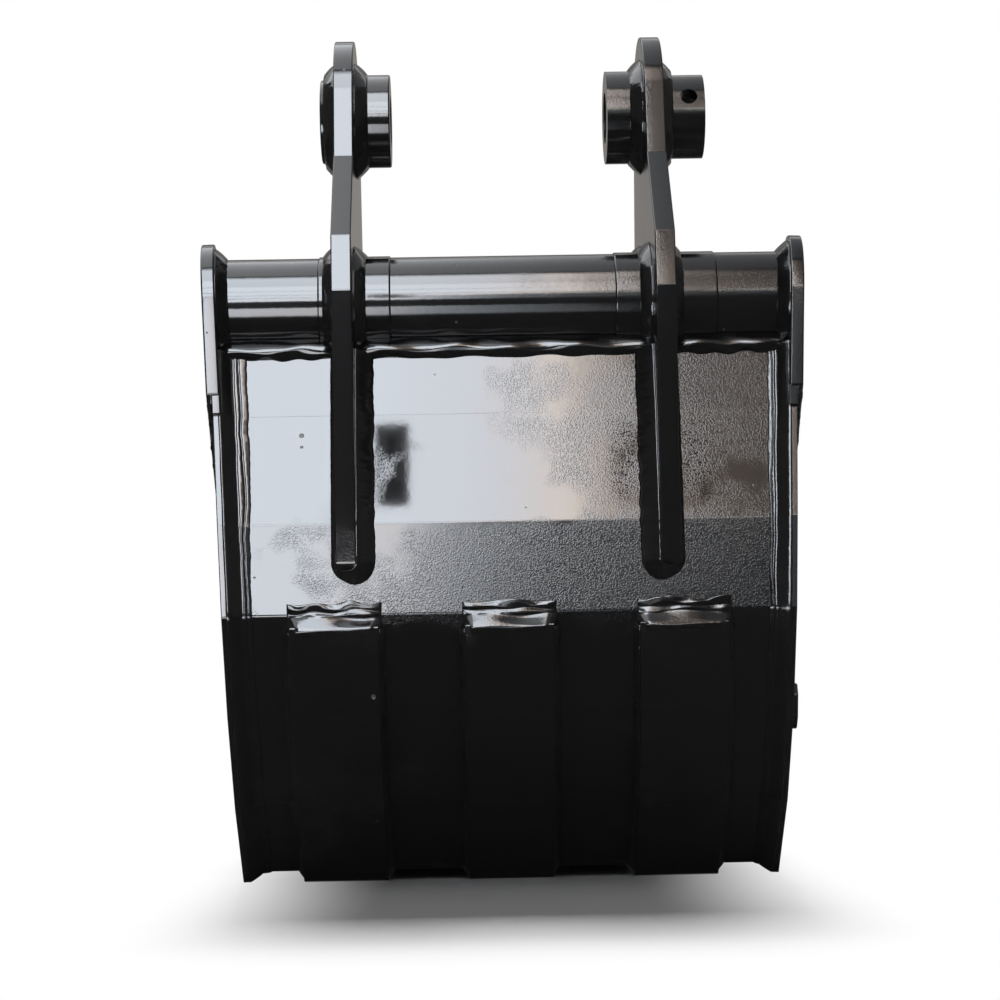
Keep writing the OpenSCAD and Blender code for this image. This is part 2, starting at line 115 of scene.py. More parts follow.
def back_face(name):
    """The outer face of a bent plate as a line of (y, z) from its top end to its front end."""
    loop = outline(corners(name))
    loop = np.roll(loop, -int(np.argmax(loop[:, 1])), axis=0)
    last = int(np.argmin(np.hypot(loop[:, 0] - loop[:, 0].max(), loop[:, 1] - loop[:, 1].min())))
    return loop[:last + 1]


wrapper_line = back_face("wrapper_plate")
strip_line = back_face("wear_strip_middle")
print("wrapper face:", np.round(wrapper_line, 3).tolist())
print("strip face:", np.round(strip_line, 3).tolist())

# Side planes: |x| = a + b y + c z, fitted through the wrapper's side edges
edge_from = 190 * mm
edge_points = corners("wrapper_plate")
edge_points = edge_points[edge_points[:, 0] > edge_from]
edge_terms = np.column_stack([np.ones(len(edge_points)), edge_points[:, 1:]])
side_fit = np.linalg.lstsq(edge_terms, edge_points[:, 0], rcond=None)[0]
side_gap = 0.2 * mm


def side_x(yz):
    """Distance of the side plates' inner faces from the middle at points (y, z)."""
    yz = np.asarray(yz)
    return side_fit[0] + side_fit[1] * yz[..., 0] + side_fit[2] * yz[..., 1] + side_gap


print("side plane:", np.round(side_fit, 4).tolist())

# How far the side plates' edges stand out behind the wrapper, measured near its second fold
near_fold = 20 * mm
way = (wrapper_line[4] - wrapper_line[3]) / np.linalg.norm(wrapper_line[4] - wrapper_line[3])
rim_corners = corners("side_plate_left")[:, 1:] - wrapper_line[3]
beside = rim_corners @ np.column_stack([way, [way[1], -way[0]]])
beside = beside[(beside[:, 0] > -near_fold) & (beside[:, 0] < near_fold)]
rim_h = float(beside[:, 1].max())
print("rim height:", round(rim_h, 4))

# %% [markdown]
# ## Camera
#
# The photograph was taken from behind and low down, through a longish lens, so the lower
# edges of the side plates hardly spread. The camera's place, turn and lens were worked out by
# fitting projected edges of the drawing to the same edges in the picture.

# %% Camera
camera_from_tube = Vector((-30.5, -1805.6, -271.1)) * mm
yaw = math.radians(0.82)
pitch = math.radians(-3.825)
roll = math.radians(-1.061)
lens_mm = 86.4
sensor_mm = 36

level = math.cos(pitch)
forward = Vector((math.sin(yaw) * level, math.cos(yaw) * level, -math.sin(pitch)))
level_right = forward.cross(Vector((0, 0, 1))).normalized()
level_up = level_right.cross(forward)
right = level_right * math.cos(roll) + level_up * math.sin(roll)
up = right.cross(forward)

camera_data = bpy.data.cameras.new("camera")
camera_data.lens = lens_mm
camera_data.sensor_width = sensor_mm
camera_data.sensor_fit = "HORIZONTAL"
camera = bpy.data.objects.new("camera", camera_data)
camera.matrix_world = Matrix((right, up, -forward)).transposed().to_4x4()
camera.location = Vector((0, tube_y, tube_z)) + camera_from_tube
bpy.context.scene.collection.objects.link(camera)
bpy.context.scene.camera = camera
bpy.context.scene.view_settings.view_transform = "Standard"


# %% [markdown]
# ## Paint
#
# The bucket is sprayed in black gloss enamel straight over mill scale, so it mirrors the room
# while small lumps in the skin break the edges of each reflection. One node group makes that
# skin from slow waves of the plate, the orange peel of the spray, fine specks that come in
# patches, and a few pits. Dust lies on it in places. Each finish then uses the group with its
# own depths, because a cast tooth is rough where a rolled plate is smooth.

# %% Node helpers
def new_node(tree, kind, **settings):
    """Adds a node of the given kind and sets its properties by name."""
    node = tree.nodes.new(kind)
    for key, value in settings.items():
        setattr(node, key, value)
    return node


def noise(tree, place, size, detail, roughness=0.5):
    """A noise whose lumps are about size metres wide; returns its value output."""
    node = new_node(tree, "ShaderNodeTexNoise")
    node.inputs["Scale"].default_value = 1 / size
    node.inputs["Detail"].default_value = detail
    node.inputs["Roughness"].default_value = roughness
    tree.links.new(place, node.inputs["Vector"])
    return node.outputs["Fac"]


def maths(tree, operation, first, second):
    """A Math node; each operand is a socket or a number."""
    node = new_node(tree, "ShaderNodeMath", operation=operation)
    for socket, operand in zip(node.inputs, (first, second)):
        if isinstance(operand, (int, float)):
            socket.default_value = operand
        else:
            tree.links.new(operand, socket)
    return node.outputs[0]


def rescale(tree, value, low, high, new_low=0.0, new_high=1.0, curve="SMOOTHSTEP"):
    """Maps value from low..high to new_low..new_high along a curve, held at both ends."""
    node = new_node(tree, "ShaderNodeMapRange", interpolation_type=curve)
    node.inputs["From Min"].default_value = low
    node.inputs["From Max"].default_value = high
    node.inputs["To Min"].default_value = new_low
    node.inputs["To Max"].default_value = new_high
    tree.links.new(value, node.inputs["Value"])
    return node.outputs["Result"]


def object_place(tree):
    """A point's place in the bucket's own axes, as a socket."""
    return new_node(tree, "ShaderNodeTexCoord").outputs["Object"]


def axes_of(tree, place):
    """The X, Y and Z of a place, as sockets by name."""
    axes = new_node(tree, "ShaderNodeSeparateXYZ")
    tree.links.new(place, axes.inputs[0])
    return axes.outputs


# %% Paint skin group
enamel = (0.0195, 0.0195, 0.0205)
dust_colour = (0.045, 0.042, 0.038, 1)
wave_size, peel_size, speck_size, patch_size, dust_size = 0.09, 0.0045, 0.0012, 0.07, 0.12
pits_per_metre = 60
pit_share, pit_reach, pit_rim, pit_depth = 0.72, 0.12, 0.03, 0.15
thin_per_metre = 1.1
thin_top, thin_foot, thin_gain = (-0.172, -0.19), (-0.262, -0.25), 0.2
patch_rough, dust_rough, pit_rough = 0.015, 0.15, 0.4
dust_most, pit_dust = 0.35, 0.8


def make_skin_group():
    """Node group: object coordinates in, paint colour, roughness and height in metres out."""
    group = bpy.data.node_groups.new("paint_skin", "ShaderNodeTree")
    for name in ("Peel", "Grain", "Waves", "Pits", "Gloss"):
        group.interface.new_socket(name, in_out="INPUT", socket_type="NodeSocketFloat")
    group.interface.new_socket("Tint", in_out="INPUT", socket_type="NodeSocketColor")
    for name, kind in (("Colour", "Color"), ("Roughness", "Float"), ("Height", "Float")):
        group.interface.new_socket(name, in_out="OUTPUT", socket_type="NodeSocket" + kind)
    given = new_node(group, "NodeGroupInput").outputs
    out = new_node(group, "NodeGroupOutput").inputs
    place = object_place(group)

    # Heights in millimetres: slow waves, orange peel, and grain where a patch mask lets it through
    waves = maths(group, "MULTIPLY", noise(group, place, wave_size, 1), given["Waves"])
    peel = maths(group, "MULTIPLY", noise(group, place, peel_size, 2, 0.55), given["Peel"])
    # The coat is thinner towards the bucket's right and between its second and third folds, so
    # the mask also rises along X and in that band of Z
    axes = axes_of(group, place)
    thin = maths(group, "MULTIPLY", axes["X"], thin_per_metre)
    low_panel = maths(group, "MULTIPLY", rescale(group, axes["Z"], *thin_top, 0.0, thin_gain),
                      rescale(group, axes["Z"], *thin_foot))
    thin = maths(group, "ADD", thin, low_panel)
    mask = maths(group, "ADD", noise(group, place, patch_size, 3, 0.6), thin)
    patches = rescale(group, mask, 0.44, 0.66)
    specks = rescale(group, noise(group, place, speck_size, 2, 0.6), 0.42, 0.7)
    fine = maths(group, "MULTIPLY", specks, given["Grain"])
    grain = maths(group, "MULTIPLY", fine, patches)

    # Pits and dirt specks: small discs in some cells of a coarse cell pattern
    cells = new_node(group, "ShaderNodeTexVoronoi", feature="F1")
    cells.inputs["Scale"].default_value = pits_per_metre
    group.links.new(place, cells.inputs["Vector"])
    pick = new_node(group, "ShaderNodeSeparateColor")
    group.links.new(cells.outputs["Color"], pick.inputs["Color"])
    reach = rescale(group, pick.outputs["Red"], pit_share, 1.0, 0.0, pit_reach)
    near = maths(group, "SUBTRACT", reach, cells.outputs["Distance"])
    pit = maths(group, "MULTIPLY", rescale(group, near, 0.0, pit_rim), given["Pits"])

    height = maths(group, "ADD", maths(group, "ADD", waves, peel), grain)
    height = maths(group, "SUBTRACT", height, maths(group, "MULTIPLY", pit, pit_depth))
    group.links.new(maths(group, "MULTIPLY", height, mm), out["Height"])

    # Dust lightens the colour and dulls the gloss, and so do the pits, which hold some of it
    dust = rescale(group, noise(group, place, dust_size, 4, 0.65), 0.5, 0.8, 0.0, dust_most)
    dusty = maths(group, "MAXIMUM", dust, maths(group, "MULTIPLY", pit, pit_dust))
    mix = new_node(group, "ShaderNodeMix", data_type="RGBA")
    mix.inputs["B"].default_value = dust_colour
    group.links.new(given["Tint"], mix.inputs["A"])
    group.links.new(dusty, mix.inputs["Factor"])
    group.links.new(mix.outputs["Result"], out["Colour"])

    rough = given["Gloss"]
    for mask, amount in ((patches, patch_rough), (dust, dust_rough), (pit, pit_rough)):
        rough = maths(group, "ADD", rough, maths(group, "MULTIPLY", mask, amount))
    group.links.new(rough, out["Roughness"])
    return group


skin_group = make_skin_group()
print("paint skin:", len(skin_group.nodes), "shader nodes")


# %% Paint finishes
def paint(name, peel, grain, waves, pits, gloss, tint=enamel):
    """Black enamel: a dielectric shader fed by the paint skin; depths are in millimetres."""
    material = bpy.data.materials.new(name)
    material.use_nodes = True
    tree = material.node_tree
    shader = tree.nodes["Principled BSDF"]
    skin = new_node(tree, "ShaderNodeGroup", node_tree=skin_group)
    depths = {"Peel": peel, "Grain": grain, "Waves": waves, "Pits": pits, "Gloss": gloss}
    for key, value in depths.items():
        skin.inputs[key].default_value = value
    skin.inputs["Tint"].default_value = (*tint, 1)
    bump = new_node(tree, "ShaderNodeBump")
    bump.inputs["Distance"].default_value = 1.0
    tree.links.new(skin.outputs["Height"], bump.inputs["Height"])
    tree.links.new(skin.outputs["Colour"], shader.inputs["Base Color"])
    tree.links.new(skin.outputs["Roughness"], shader.inputs["Roughness"])
    tree.links.new(bump.outputs["Normal"], shader.inputs["Normal"])
    shader.inputs["Specular IOR Level"].default_value = 0.5
    return material


plate_paint = paint("plate_paint", peel=0.009, grain=0.04, waves=0.12, pits=1.0, gloss=0.05)
edge_paint = paint("cut_edge_paint", peel=0.02, grain=0.012, waves=0.1, pits=1.0, gloss=0.07)
tube_paint = paint("tube_paint", peel=0.03, grain=0.02, waves=0.2, pits=0.8, gloss=0.1)
weld_paint = paint("weld_paint", peel=0.05, grain=0.02, waves=0.1, pits=0.0, gloss=0.09)
cast_paint = paint("cast_paint", peel=0.12, grain=0.16, waves=0.3, pits=1.0, gloss=0.2,
                   tint=(0.021, 0.021, 0.022))
dark_steel = paint("fastener_steel", peel=0.01, grain=0.05, waves=0.0, pits=0.5, gloss=0.3,
                   tint=(0.12, 0.12, 0.13))
dark_steel.node_tree.nodes["Principled BSDF"].inputs["Metallic"].default_value = 0.9
finishes = {"plate_paint": plate_paint, "cast_paint": cast_paint, "fastener_steel": dark_steel}

# %% [markdown]
# ## Softened edges
#
# No flame-cut plate has a knife edge: grinding and paint round it by about a millimetre, and
# that small round is what catches the light along every plate. Each node is copied, its loose
# triangles are merged into whole faces, and a Bevel rounds the edges that are sharper than a
# given angle. Shallow folds between large faces get a Bevel of their own first, picked by a
# weight on their edges: a press brake leaves a wide round in the wrapper, and without a round
# of its own the shading of one face would run into the next. Both leave the small facets of
# the turned bosses alone. The tube shows no cut edge, so it keeps its own mesh.

# %% Softened copies
bent = ["wrapper_plate"] + [f"wear_strip_{side}" for side in ("left", "middle", "right")]
fold_turns = (3, 25)
fold_area = 250 * mm * mm
bent_round, fold_round = 3 * mm, 0.8 * mm


def soften(name, width, material, angle=25, segments=3):
    """A copy of a node with merged faces and rounded edges, which stands in for the node."""
    source = nodes[name]
    mesh = source.data.copy()
    mesh.name = name + "_painted"
    work = bmesh.new()
    work.from_mesh(mesh)
    bmesh.ops.remove_doubles(work, verts=work.verts, dist=0.01 * mm)
    bmesh.ops.dissolve_limit(work, angle_limit=math.radians(0.05),
                             verts=work.verts, edges=work.edges)
    weight = work.edges.layers.float.new("bevel_weight_edge")
    for edge in work.edges:
        turn = math.degrees(edge.calc_face_angle(0))
        smaller = min((face.calc_area() for face in edge.link_faces), default=0)
        folded = fold_turns[0] < turn < fold_turns[1] and smaller > fold_area
        edge[weight] = 1.0 if folded else 0.0
    for face in work.faces:
        face.smooth = True
    work.to_mesh(mesh)
    work.free()
    mesh.materials.clear()
    mesh.materials.append(material)
    piece = bpy.data.objects.new(name + "_painted", mesh)
    bpy.context.scene.collection.objects.link(piece)
    folds = piece.modifiers.new("folds", "BEVEL")
    folds.limit_method = "WEIGHT"
    folds.width = bent_round if name in bent else fold_round
    folds.segments = 4
    rounding = piece.modifiers.new("rounding", "BEVEL")
    rounding.width = width
    rounding.segments = segments
    rounding.limit_method = "ANGLE"
    rounding.angle_limit = math.radians(angle)
    piece.modifiers.new("flat_faces", "WEIGHTED_NORMAL")
    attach(piece, "root")
    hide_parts(name)
    return piece


for name in nodes:
    finish = finishes[slots[name]]
    if name in bent:
        soften(name, 1.2 * mm, finish)
    elif slots[name] == "fastener_steel":
        soften(name, 0.5 * mm, finish, segments=2)
    elif "boss" in name:
        soften(name, 1.2 * mm, tube_paint)
    elif "cross_tube" in name:
        nodes[name].data.materials.clear()
        nodes[name].data.materials.append(tube_paint)
    elif name.startswith(("hanger_plate", "end_plate", "side_plate")):
        soften(name, 1.3 * mm, edge_paint)
    elif "tooth" in name:
        soften(name, 2.2 * mm, finish, angle=20, segments=4)
    else:
        soften(name, 1.3 * mm, finish)


# %% [markdown]
# ## Weld beads
#
# The bucket is held together by fillet welds, and on a painted bucket they are the most lively
# surfaces. A bead is a section carried along the line where two plates meet. Each point of the
# path has two directions, one along each plate, and the section is given in distances along
# them, so the same function lays a bead in a right angle, on a tube or in a folded corner.
# Ripples run across the bead at the welder's pace, and slow waves move its toes in and out.

# %% Waves and paths
bead_step = 1.6 * mm
wave_count = 5


def wander(along, length, seed):
    """A smooth random line between about -1 and 1: the mean of some sine waves near one length."""
    rng = np.random.default_rng(seed)
    phases = rng.uniform(0, 2 * np.pi, wave_count)
    stretch = rng.uniform(0.45, 1.7, wave_count)
    turns = np.asarray(along)[..., None] / (length * stretch)
    return np.sin(2 * np.pi * turns + phases).mean(axis=-1) * 1.7


def lengths_of(line):
    """Distance of each corner of a line from its first corner, along the line."""
    return np.concatenate([[0], np.cumsum(np.linalg.norm(np.diff(line, axis=0), axis=1))])


def follow(line, distance, blend=2.5 * mm):
    """Points at distances along a line, and unit tangents that turn within blend of a corner."""
    marks = lengths_of(line)

    def at(d):
        return np.stack([np.interp(d, marks, line[:, k]) for k in range(line.shape[1])], axis=-1)

    step = at(distance + blend) - at(distance - blend)
    return at(distance), step / np.linalg.norm(step, axis=1, keepdims=True)


def steps(length):
    """Evenly spaced distances from 0 to length, about one bead step apart."""
    return np.linspace(0, length, max(int(round(length / bead_step)), 4) + 1)


def unit(v):
    """Vectors divided by their lengths."""
    return v / np.linalg.norm(v, axis=-1, keepdims=True)


def outward(tangent):
    """Normals on the right of a flat line's tangents: out of the bucket, on its profile."""
    return np.column_stack([tangent[:, 1], -tangent[:, 0]])


def taper_ends(along, reach, least):
    """A bead's height at each distance: 1, falling to the root of least within reach of an end."""
    near_end = np.minimum(along, along[-1] - along)[:, None]
    return np.clip(near_end / reach, least, 1) ** 0.5


# %% Section of a fillet
def toe_wave(s, seed, slow, quick):
    """A toe's way in and out: a slow and a quick wave, each given as (share of the leg, length)."""
    return slow[0] * wander(s, slow[1], seed) + quick[0] * wander(s, quick[1], seed + 1)


def fillet(along, leg_a, leg_b, crown, seed, ripple=0.25 * mm, ends=True, wobble=1.0):
    """
    Section of a bead at each distance along it, as distances (a, b) along the two plates.
    The chord from toe to toe is lifted by a parabola of height crown and by a ripple, a sine
    of the distance that bends forward in the bead's middle.
    """
    pace = 3.4 * mm
    across = np.linspace(0, 1, 13)[None, :]
    s = along[:, None]
    leg_a = np.reshape(leg_a, (-1, 1))
    leg_b = np.reshape(leg_b, (-1, 1))
    toe_a = leg_a * (1 + wobble * toe_wave(s, seed, (0.16, 34 * mm), (0.06, 7 * mm)))
    toe_b = leg_b * (1 + wobble * toe_wave(s, seed + 2, (0.10, 27 * mm), (0.05, 6 * mm)))
    arch = 4 * across * (1 - across)
    phase = 2 * np.pi * (s / pace + 0.55 * arch) + 2.2 * wander(s, 15 * mm, seed + 5)
    swell = 0.75 + 0.25 * wander(s, 40 * mm, seed + 6)
    lift = 0.7 * (crown * arch + ripple * arch ** 0.5 * np.sin(phase) * swell)
    shrink = taper_ends(along, 5 * mm, 0.12) if ends else 1
    reach_a = (toe_a * (1 - across) + lift) * shrink
    reach_b = (toe_b * across + lift) * shrink
    return np.stack([reach_a, reach_b], axis=-1)


# %% Section of a heavy bead
def heavy(along, knots, sway, seed, length):
    """
    Section of a heavy bead, given by its corners (a, b) in millimetres along the plate and
    out of it. Each corner moves along its own slow wave by up to sway millimetres, the line
    through the corners is sampled evenly, and a running mean of the samples rounds it.
    """
    knots = np.array(knots, float) * mm
    sway = np.array(sway, float) * mm
    moved = np.stack([np.stack([
        knots[k, axis] + sway[k, axis] * wander(along, length * (1 + 0.2 * k), seed + 2 * k + axis)
        for axis in (0, 1)], axis=-1) for k in range(len(knots))], axis=1)
    at = np.linspace(0, len(knots) - 1, 6 * (len(knots) - 1) + 1)
    cell = np.minimum(at.astype(int), len(knots) - 2)
    part = (at - cell)[None, :, None]
    line = moved[:, cell] * (1 - part) + moved[:, cell + 1] * part
    for _ in range(4):
        line[:, 1:-1] = (line[:, :-2] + 2 * line[:, 1:-1] + line[:, 2:]) / 4
    return np.stack([line[..., 0], line[..., 1] * taper_ends(along, 7 * mm, 0.1)], axis=-1)


# %% Sweep a section
toe_sink, root_sink = 0.35 * mm, 0.3 * mm


def sweep(name, root, along_a, along_b, section, closed=False):
    """
    Skin of a bead: each section point (a, b) goes to root + a A + b B, where A and B are one
    direction or one for each root. The toes are sunk a little into the plates, a point behind
    the root closes the loop, and a flat face closes each end, unless the path itself closes.
    """
    along_a = np.broadcast_to(along_a, root.shape).astype(float)
    along_b = np.broadcast_to(along_b, root.shape).astype(float)
    inward = -unit(along_a + along_b)
    face = root[:, None] + section[..., :1] * along_a[:, None] + section[..., 1:] * along_b[:, None]
    face[:, 0] += inward * toe_sink
    face[:, -1] += inward * toe_sink
    behind = (root + inward * root_sink)[:, None]
    rings = np.concatenate([face, behind], axis=1)
    rows, columns = rings.shape[:2]
    index = np.arange(rows * columns).reshape(rows, columns)
    start = index if closed else index[:-1]
    end = np.roll(index, -1, axis=0) if closed else index[1:]
    quads = np.stack([start, np.roll(start, -1, axis=1), np.roll(end, -1, axis=1), end], axis=-1)
    faces = quads.reshape(-1, 4).tolist()
    if not closed:
        faces.append(index[0][::-1].tolist())
        faces.append(index[-1].tolist())
    mesh = bpy.data.meshes.new(name)
    mesh.from_pydata(rings.reshape(-1, 3).tolist(), [], faces)
    work = bmesh.new()
    work.from_mesh(mesh)
    bmesh.ops.recalc_face_normals(work, faces=work.faces)
    for skin_face in work.faces:
        skin_face.smooth = len(skin_face.verts) == 4
    work.to_mesh(mesh)
    work.free()
    mesh.materials.append(weld_paint)
    piece = bpy.data.objects.new(name, mesh)
    bpy.context.scene.collection.objects.link(piece)
    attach(piece, "root")
    return piece


def across_x(yz, x):
    """Points (x, y, z) from (y, z) pairs and x."""
    return np.column_stack([np.broadcast_to(x, len(yz)), yz])


# %% [markdown]
# ## Welds along the rims
#
# Inside each rim the side plate is joined to the wrapper along its whole profile. The bead
# has a steep fillet against the rim, which mirrors the dark sides of the room, and a second
# flat pass beside it, which mirrors the doorway as an uneven bright strip.

# %% Rim welds
def rim_section(along, pass_width, seed):
    """
    Height of the weld over the wrapper against the distance from the rim: a lap on the rim's
    own edge, a straight slope down from it, then a low arch whose two edges wander, with a
    crease in its middle.
    """
    s = along[:, None]
    slope_w = 10.2 * mm * (1 + toe_wave(s, seed, (0.04, 60 * mm), (0.02, 16 * mm)))
    pass_w = np.reshape(pass_width, (-1, 1))
    pass_w = pass_w * (1 + toe_wave(s, seed + 2, (0.06, 70 * mm), (0.03, 14 * mm)))
    low = 1.2 * mm
    bulge = 0.35 * mm
    t = np.linspace(0, 1, 5)[None, 1:]
    lap = 2.3 * mm * (1 + 0.3 * wander(s, 38 * mm, seed + 4))
    slope_a = np.concatenate([-lap, np.full_like(s, -0.4 * mm), slope_w * t], axis=1)
    slope_b = rim_h + (low - rim_h) * t + bulge * np.sin(np.pi * t) + 0 * s
    lap_b = np.full_like(s, rim_h - 0.1 * mm)
    brow_b = np.full_like(s, rim_h + 0.3 * mm)
    u = np.linspace(0, 1, 17)[None, 1:]
    crease_at = 0.42 + 0.2 * wander(s, 120 * mm, seed + 5)
    crease = 0.4 * mm * np.exp(-((u - crease_at) / 0.07) ** 2)
    arch = np.sqrt(np.clip(1 - (2 * u - 1) ** 8, 0, 1))
    phase = 2 * np.pi * (s / (3.8 * mm) + 0.3 * arch) + 2.5 * wander(s, 18 * mm, seed + 6)
    ripple = 0.02 * mm * np.sin(phase)
    pass_a = slope_w + pass_w * u
    pass_b = low * (1 - u) + (0.6 * mm + ripple - crease) * arch
    a = np.concatenate([slope_a, pass_a], axis=1)
    b = np.concatenate([lap_b, brow_b, slope_b, pass_b], axis=1)
    return (np.stack([a, b], axis=-1) * taper_ends(along, 6 * mm, 0.15)[..., None])[:, ::-1]


wrapper_length = lengths_of(wrapper_line)[-1]
rim_along = steps(wrapper_length - 12 * mm) + 4 * mm
rim_yz, rim_tangent = follow(wrapper_line, rim_along)
taper = np.interp(rim_along, [0, 0.08, 0.2], [1.0, 1.0, 0.6])
for side, label, pass_width in ((-1, "left", 10.5 * mm * taper), (1, "right", 5.5 * mm * taper)):
    section = rim_section(rim_along - rim_along[0], pass_width, 11 + side)
    sweep(f"rim_weld_{label}", across_x(rim_yz, side * side_x(rim_yz)), (-side, 0, 0),
          across_x(outward(rim_tangent), 0.0), section)
print("rim weld length:", round(float(rim_along[-1] - rim_along[0]), 3))

# %% [markdown]
# ## Welds at the tube
#
# The wrapper's top edge sits on the tube and is welded to it from outside in three runs,
# because the hanger plates stand in the way. Rings of weld join the tube to the end plates
# and the bosses to the hanger plates, and a seam follows each end plate's lower edge.

# %% Tube to wrapper
seat_y, seat_z = wrapper_line[0]
seat_angle = math.atan2(seat_z - tube_z, seat_y - tube_y)
down_wrapper = unit(wrapper_line[2] - wrapper_line[1])
off_wrapper = np.array([down_wrapper[1], -down_wrapper[0]])

# The bead's upper toe lies on the tube's back, 2 degrees higher than the wrapper's edge
toe_angle = seat_angle - math.radians(2)
toe_y = tube_y + tube_r * math.cos(toe_angle)
toe_z = tube_z + tube_r * math.sin(toe_angle)
toe = np.array([toe_y, toe_z]) - wrapper_line[0]
toe_a, toe_b = toe @ down_wrapper / mm, toe @ off_wrapper / mm
tube_knots = [(16.5, 0), (14, 4.6), (10, 7.2), (toe_a, toe_b)]
tube_sway = [(1.2, 0), (0.8, 0.5), (1.4, 1.2), (0, 0)]
seat_half = float(side_x(wrapper_line[0]))
runs = [(-seat_half, -ear_out), (-ear_in, ear_in), (ear_out, seat_half)]
for k, (x0, x1) in enumerate(runs):
    along = steps(x1 - x0)
    root = across_x(np.tile(wrapper_line[0], (len(along), 1)), x0 + along)
    section = heavy(along, tube_knots, tube_sway, 31 + 20 * k, 42 * mm)
    sweep(f"tube_weld_{k + 1}", root, (0, *down_wrapper), (0, *off_wrapper), section)
print("tube weld runs:", [round(x1 - x0, 3) for x0, x1 in runs])


# %% Rings round tubes and bosses
def ring(name, centre_y, centre_z, radius, x_at, way, legs, seed, crown):
    """
    A bead round a turned part where it meets a plate. x_at is the plate's x, or gives it at
    points (y, z), and way says to which side of the plate the part stands out.
    """
    count = int(2 * np.pi * radius / bead_step)
    turn = np.linspace(0, 2 * np.pi, count, endpoint=False)
    spoke = np.column_stack([np.cos(turn), np.sin(turn)])
    yz = np.array([centre_y, centre_z]) + radius * spoke
    x = x_at(yz) if callable(x_at) else x_at
    along = turn * radius
    # The waves are taken on a cosine of the angle, so that the ring closes without a step
    lap = (1 - np.cos(turn)) * radius * 1.5
    section = fillet(lap, *legs, crown, seed, ripple=0, ends=False, wobble=0.3)
    beats = round(2 * np.pi * radius / (3.6 * mm))
    arch = np.sin(np.linspace(0, np.pi, section.shape[1]))[None, :, None]
    section = section + 0.12 * mm * arch * np.sin(beats * turn[:, None, None] + 2.5 * arch)
    return sweep(name, across_x(yz, x), across_x(spoke, 0.0), (way, 0, 0), section, closed=True)


end_legs, tube_legs, boss_legs = (8.5 * mm, 9.5 * mm), (8.5 * mm, 9 * mm), (9.3 * mm, 9.6 * mm)
for side, label in ((-1, "left"), (1, "right")):
    ring(f"end_ring_{label}", tube_y, tube_z, tube_r, lambda yz, side=side: side * side_x(yz),
         -side, end_legs, 51 + side, 0.2 * mm)
    turned = [("tube", tube_y, tube_z, tube_legs, 61, 0.5 * mm)]
    for boss, seed in (("link", 80), ("stick", 71)):
        low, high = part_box(f"{boss}_boss_{label}")
        middle_y, middle_z = (low.y + high.y) / 2, (low.z + high.z) / 2
        turned.append((boss, middle_y, middle_z, boss_legs, seed, 0.4 * mm))
    for part, y, z, legs, seed, crown in turned:
        for face_x, way, where in ((ear_in, -side, "in"), (ear_out, side, "out")):
            ring(f"{part}_ring_{label}_{where}", y, z, tube_boss_r, side * face_x,
                 way, legs, seed + side + way, crown)


# %% End plate seams
seam_below_tube = 60 * mm
for side, label in ((-1, "left"), (1, "right")):
    loop = outline(corners(f"end_plate_{label}"))
    lower = loop[loop[:, 1] < tube_z - seam_below_tube]
    lower = lower[np.argsort(lower[:, 0])]
    along = steps(lengths_of(lower)[-1])
    yz, tangent = follow(lower, along)
    root = across_x(yz, side * (side_x(yz) + plate_t))
    section = fillet(along, 5 * mm, 4 * mm, 0.5 * mm, 81 + side)
    sweep(f"end_seam_{label}", root, across_x(outward(tangent), 0.0), (side, 0, 0), section)
print("end seam length:", round(float(along[-1]), 3))

# %% [markdown]
# ## Welds round the hanger plates' tails
#
# Each hanger plate runs down the wrapper and ends in a toe. One bead goes down one side,
# round the toe and up the other side. Its path is laid out flat, in distances across and
# down the wrapper, and then folded onto the wrapper's face.

# %% Tail welds
def on_wrapper(flat, flat_way, name, legs, seed, wobble=0.5):
    """
    A bead on the wrapper's outer face. flat holds points (x, distance down the face), and
    flat_way the direction in that flat layout in which the bead's foot reaches.
    """
    yz, tangent = follow(wrapper_line, flat[:, 1])
    flat_way = np.broadcast_to(flat_way, flat.shape)
    foot = np.column_stack([flat_way[:, 0], flat_way[:, 1:] * tangent])
    crown = 0.3 * mm
    section = fillet(lengths_of(flat), *legs, crown, seed, wobble=wobble)
    root = across_x(yz, flat[:, 0])
    return sweep(name, root, unit(foot), across_x(outward(tangent), 0.0), section)


def round_corners(points, radius):
    """A line with its corners replaced by arcs, sampled evenly; returns points and left normals."""
    parts = [points[:1]]
    for before, corner, after in zip(points[:-2], points[1:-1], points[2:]):
        back = corner + unit(before - corner) * radius
        ahead = corner + unit(after - corner) * radius
        t = np.linspace(0, 1, 9)[:, None]
        parts.append((1 - t) ** 2 * back + 2 * t * (1 - t) * corner + t ** 2 * ahead)
    parts.append(points[-1:])
    line = np.concatenate(parts)
    places, tangent = follow(line, steps(lengths_of(line)[-1]), 1.5 * mm)
    return places, -outward(tangent)


def down_to(z):
    """Distance down the wrapper's face at which it reaches the height z."""
    return float(np.interp(-z, -wrapper_line[:, 1], lengths_of(wrapper_line)))


# The bead is heavy on the side that faces the other hanger plate and slim on the outside
tail_start = 7 * mm
slim_leg, heavy_leg = 4 * mm, 14 * mm
for side, label in ((-1, "left"), (1, "right")):
    low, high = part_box(f"hanger_plate_{label}")
    toe = down_to(low.z + 1 * mm)
    loop = np.array([(low.x, tail_start), (low.x, toe), (high.x, toe), (high.x, tail_start)])
    flat, left = round_corners(loop, 6.5 * mm)
    inner, outer = (high.x, low.x) if side < 0 else (low.x, high.x)
    legs = np.interp((flat[:, 0] - outer) / (inner - outer), [0, 1], [slim_leg, heavy_leg])
    on_wrapper(flat, left, f"tail_weld_{label}", (legs, legs * 0.9), 91 + side, wobble=0.22)
print("tail toe is", round(toe, 3), "down the wrapper")

